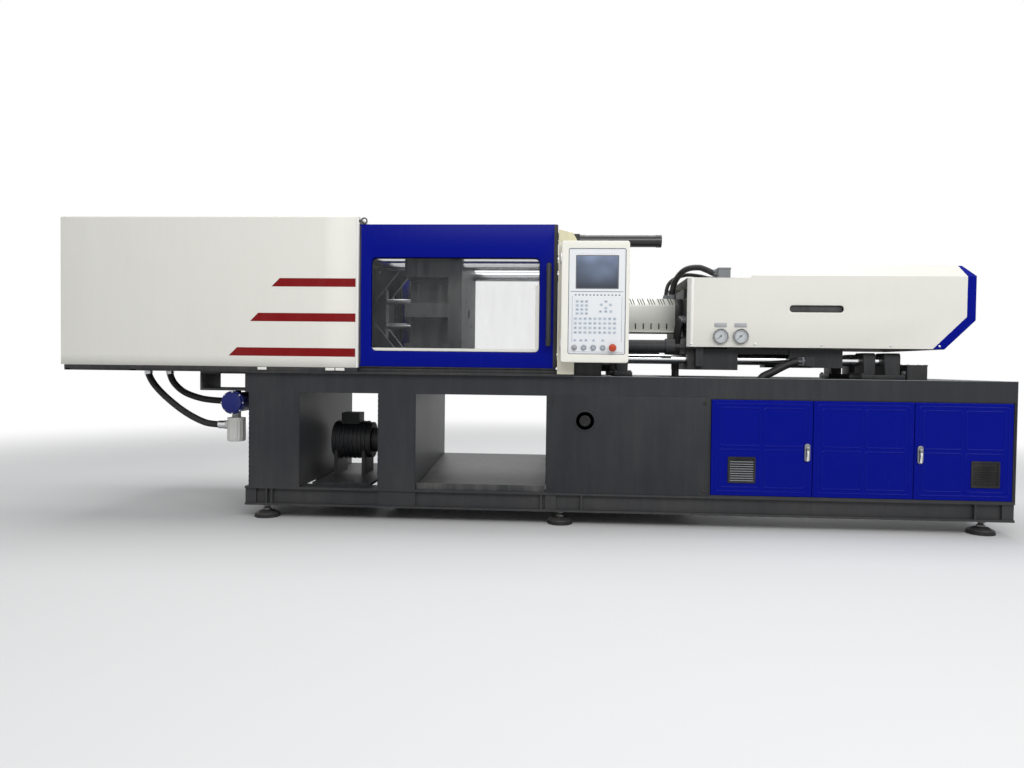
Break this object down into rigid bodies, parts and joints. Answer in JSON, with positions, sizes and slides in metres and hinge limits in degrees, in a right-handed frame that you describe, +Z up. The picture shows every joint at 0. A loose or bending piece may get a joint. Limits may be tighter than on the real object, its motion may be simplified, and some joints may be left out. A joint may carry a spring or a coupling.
{
  "type": "injection moulding machine",
  "caption": "Horizontal toggle-clamp injection moulding machine with sliding guard doors, covered injection unit and operator panel on one bed.",
  "frame": {"origin": "on the floor under the middle of the machine's overall box", "axes": "+X from the clamp to the injection end, +Y from the operator's side to the rear, +Z up"},
  "size_m": [5.2, 1.335, 1.677],
  "materials": {
    "bed_dark": "satin",
    "blue_paint": "gloss",
    "cover_white": "satin",
    "cream": "satin",
    "casting": "painted satin",
    "grey_paint": "satin",
    "cabinet_grey": "satin",
    "panel_dark": "satin",
    "hard_chrome": "polished",
    "steel": "machined",
    "black_steel": "semi-gloss",
    "rubber": "matt",
    "pane": "clear sheet",
    "panel_shell": "textured",
    "gear_plastic": "matt",
    "red_plastic": "gloss",
    "green_plastic": "gloss",
    "grey_plastic": "gloss"
  },
  "bodies": {
    "base": {"bed_frame": "bed_dark", "access_panel": "panel_dark", "levelling_feet": "rubber", "drop_chute": "bed_dark", "oil_tank": "bed_dark", "pump_unit": "grey_paint", "oil_cooler": "blue_paint", "clamp_hoses": "rubber", "cabinet_shell": "cabinet_grey", "cabinet_middle_panel": "blue_paint", "control_gear": "gear_plastic", "terminal_box": "black_steel", "fixed_platen": "casting", "tie_bars": "hard_chrome", "safety_bar_tube": "black_steel", "guard_frame": "cream", "clamp_cover": "cover_white", "guide_rods": "hard_chrome", "carriage_cylinders": "grey_paint"},
    "tail": {"tail_platen": "casting", "height_nuts": "steel", "clamp_cylinder": "grey_paint", "guide_pins": "hard_chrome", "tail_toggle_pins": "steel"},
    "moving": {"moving_platen": "casting", "front_toggle_pins": "steel", "ejector_cylinder": "grey_paint", "safety_bar": "steel"},
    "crosshead": {"crosshead": "casting", "piston_rod": "hard_chrome"},
    "rear_upper": {"rear_links_upper": "casting"},
    "rear_lower": {"rear_links_lower": "casting"},
    "front_upper": {"front_links_upper": "casting"},
    "front_lower": {"front_links_lower": "casting"},
    "cross_upper": {"crosshead_links_upper": "casting"},
    "cross_lower": {"crosshead_links_lower": "casting"},
    "ejector": {"ejector_rod": "hard_chrome"},
    "door_front": {"front_door": "blue_paint", "front_window": "pane"},
    "door_rear": {"rear_door": "blue_paint", "rear_window": "pane"},
    "panel": {"panel_housing": "panel_shell"},
    "stop": {"emergency_stop": "red_plastic"},
    "button_start": {"start_button": "green_plastic"},
    "button_stop": {"stop_button": "grey_plastic"},
    "button_heater": {"heater_button": "grey_plastic"},
    "key": {"key_switch": "hard_chrome"},
    "cabinet_left": {"cabinet_door_left": "blue_paint"},
    "cabinet_right": {"cabinet_door_right": "blue_paint"},
    "latch_l": {"latch_left": "hard_chrome"},
    "latch_r": {"latch_right": "hard_chrome"},
    "injection": {"carriage": "casting", "barrel": "steel", "barrel_guard": "cover_white", "injection_cover": "cover_white", "pressure_gauges": "hard_chrome", "hydraulic_conduits": "rubber"},
    "needle_l": {"gauge_needle_left": "red_plastic"},
    "needle_r": {"gauge_needle_right": "red_plastic"},
    "thrust": {"thrust_unit": "casting"},
    "screw": {"screw": "steel"}
  },
  "joints": [
    {"name": "mould_height", "type": "slide", "parent": "base", "child": "tail", "axis": [1, 0, 0], "range_m": [-0.3, 0]},
    {"name": "platen_stroke", "type": "slide", "parent": "tail", "child": "moving", "axis": [1, 0, 0], "range_m": [0, 0.43]},
    {"name": "crosshead_stroke", "type": "slide", "parent": "tail", "child": "crosshead", "axis": [1, 0, 0], "range_m": [0, 0.27142]},
    {"name": "rear_upper_turn", "type": "hinge", "parent": "tail", "child": "rear_upper", "pos_m": [-0.925, 0.0475, 1.49], "axis": [0, -1, 0], "range_deg": [0, 100.89]},
    {"name": "rear_lower_turn", "type": "hinge", "parent": "tail", "child": "rear_lower", "pos_m": [-0.925, 0.0475, 0.88], "axis": [0, 1, 0], "range_deg": [0, 100.89]},
    {"name": "front_upper_turn", "type": "hinge", "parent": "moving", "child": "front_upper", "pos_m": [-0.775, 0.0475, 1.49], "axis": [0, 1, 0], "range_deg": [0, 51.89]},
    {"name": "front_lower_turn", "type": "hinge", "parent": "moving", "child": "front_lower", "pos_m": [-0.775, 0.0475, 0.88], "axis": [0, -1, 0], "range_deg": [0, 51.89]},
    {"name": "cross_upper_turn", "type": "hinge", "parent": "crosshead", "child": "cross_upper", "pos_m": [-0.91803, 0.0475, 1.375], "axis": [0, 1, 0], "range_deg": [0, 80.79]},
    {"name": "cross_lower_turn", "type": "hinge", "parent": "crosshead", "child": "cross_lower", "pos_m": [-0.91803, 0.0475, 0.995], "axis": [0, -1, 0], "range_deg": [0, 80.79]},
    {"name": "ejector_stroke", "type": "slide", "parent": "moving", "child": "ejector", "axis": [1, 0, 0], "range_m": [0, 0.14]},
    {"name": "front_door_slide", "type": "slide", "parent": "base", "child": "door_front", "axis": [-1, 0, 0], "range_m": [0, 0.9]},
    {"name": "rear_door_slide", "type": "slide", "parent": "base", "child": "door_rear", "axis": [-1, 0, 0], "range_m": [0, 0.9]},
    {"name": "panel_swing", "type": "hinge", "parent": "base", "child": "panel", "pos_m": [0.21, -0.5525, 1.2], "axis": [0, 0, 1], "range_deg": [-35, 0]},
    {"name": "stop_press", "type": "slide", "parent": "panel", "child": "stop", "axis": [0, 1, 0], "range_m": [0, 0.005]},
    {"name": "start_press", "type": "slide", "parent": "panel", "child": "button_start", "axis": [0, 1, 0], "range_m": [0, 0.004], "stiffness_N_per_m": 300, "springref_m": -0.002},
    {"name": "halt_press", "type": "slide", "parent": "panel", "child": "button_stop", "axis": [0, 1, 0], "range_m": [0, 0.004], "stiffness_N_per_m": 300, "springref_m": -0.002},
    {"name": "heater_press", "type": "slide", "parent": "panel", "child": "button_heater", "axis": [0, 1, 0], "range_m": [0, 0.004], "stiffness_N_per_m": 300, "springref_m": -0.002},
    {"name": "key_turn", "type": "hinge", "parent": "panel", "child": "key", "pos_m": [0.272, -0.6325, 0.971], "axis": [0, 1, 0], "range_deg": [0, 90]},
    {"name": "cabinet_left_swing", "type": "hinge", "parent": "base", "child": "cabinet_left", "pos_m": [1.026, -0.4795, 0.45], "axis": [0, 0, 1], "range_deg": [-110, 0]},
    {"name": "cabinet_right_swing", "type": "hinge", "parent": "base", "child": "cabinet_right", "pos_m": [2.574, -0.4795, 0.45], "axis": [0, 0, 1], "range_deg": [0, 110]},
    {"name": "latch_left_turn", "type": "hinge", "parent": "cabinet_left", "child": "latch_l", "pos_m": [1.523, -0.4875, 0.444], "axis": [0, 1, 0], "range_deg": [0, 90]},
    {"name": "latch_right_turn", "type": "hinge", "parent": "cabinet_right", "child": "latch_r", "pos_m": [2.108, -0.4875, 0.444], "axis": [0, 1, 0], "range_deg": [-90, 0]},
    {"name": "carriage_travel", "type": "slide", "parent": "base", "child": "injection", "axis": [1, 0, 0], "range_m": [-0.075, 0.105]},
    {"name": "gauge_left_turn", "type": "hinge", "parent": "injection", "child": "needle_l", "pos_m": [1.088, -0.3425, 1.05], "axis": [0, 1, 0], "range_deg": [0, 270]},
    {"name": "gauge_right_turn", "type": "hinge", "parent": "injection", "child": "needle_r", "pos_m": [1.198, -0.3425, 1.05], "axis": [0, 1, 0], "range_deg": [0, 270]},
    {"name": "injection_stroke", "type": "slide", "parent": "injection", "child": "thrust", "axis": [1, 0, 0], "range_m": [0, 0.2]},
    {"name": "screw_turn", "type": "hinge", "parent": "thrust", "child": "screw", "pos_m": [0.9, 0.0475, 1.185], "axis": [1, 0, 0], "continuous": true}
  ],
  "couplings": [
    {"joint": "crosshead_stroke", "follows": "platen_stroke", "ratio": 0.63098},
    {"joint": "rear_upper_turn", "follows": "platen_stroke", "rad_per_m": 4.0949},
    {"joint": "front_upper_turn", "follows": "platen_stroke", "rad_per_m": 2.1061},
    {"joint": "cross_upper_turn", "follows": "platen_stroke", "rad_per_m": 3.2791},
    {"joint": "rear_lower_turn", "follows": "platen_stroke", "rad_per_m": 4.0949},
    {"joint": "front_lower_turn", "follows": "platen_stroke", "rad_per_m": 2.1061},
    {"joint": "cross_lower_turn", "follows": "platen_stroke", "rad_per_m": 3.2791}
  ]
}
